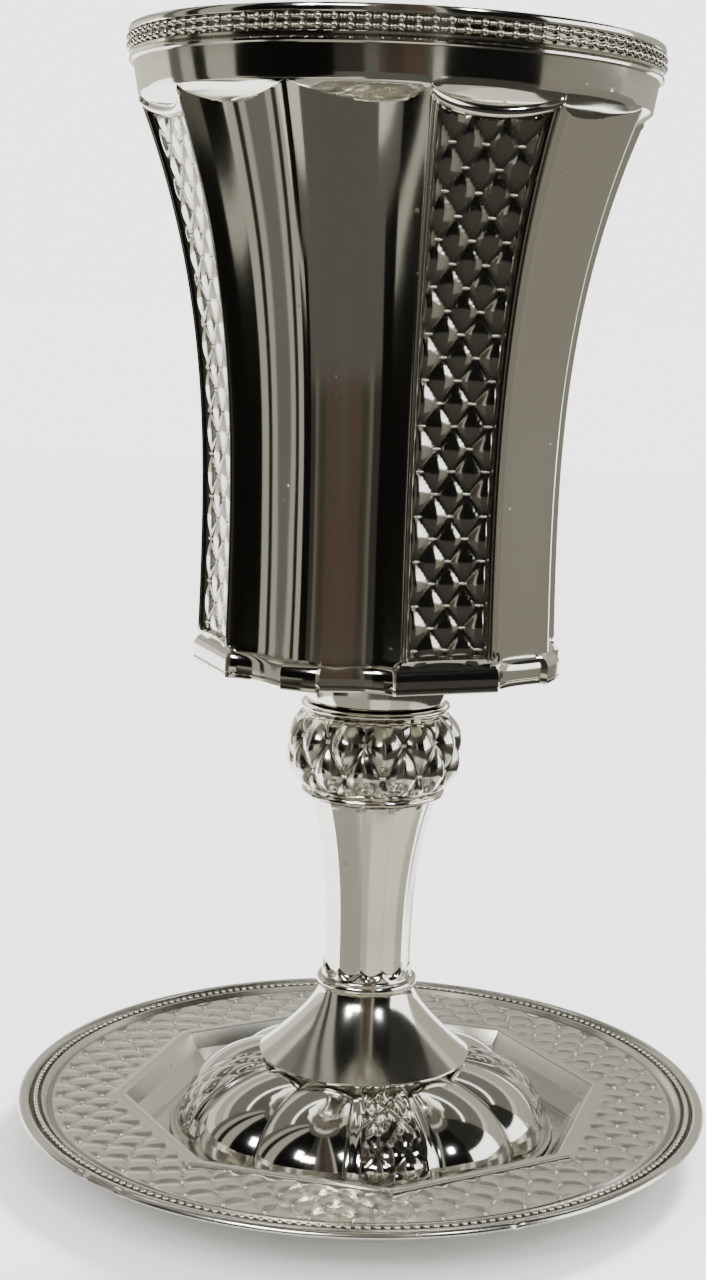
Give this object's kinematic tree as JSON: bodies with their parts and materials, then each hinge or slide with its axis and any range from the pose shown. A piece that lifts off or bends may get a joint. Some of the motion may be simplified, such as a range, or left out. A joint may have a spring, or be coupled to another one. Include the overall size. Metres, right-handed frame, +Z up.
{
  "type": "kiddush cup",
  "caption": "Fluted metal goblet with a beaded rim, quilted flutes, a quilted knop and a lobed foot, standing in the well of its round saucer.",
  "frame": {"origin": "centre of the saucer's underside, on the surface the part stands on", "axes": "+Z up along the cup's axis; -Y is the front, the side with a smooth flute and a quilted flute to its right"},
  "size_m": [0.1, 0.1, 0.1558],
  "materials": {
    "saucer_metal": "polished silver-coloured plate, softly satin on the quilting",
    "foot_metal": "mirror-polished silver-coloured plate",
    "stem_metal": "polished silver-coloured plate",
    "knop_metal": "polished silver-coloured plate",
    "bowl_metal": "mirror-polished silver-coloured plate"
  },
  "bodies": {
    "root": {"saucer": "saucer_metal", "foot": "foot_metal", "stem": "stem_metal", "knop": "knop_metal", "bowl": "bowl_metal"}
  },
  "joints": []
}
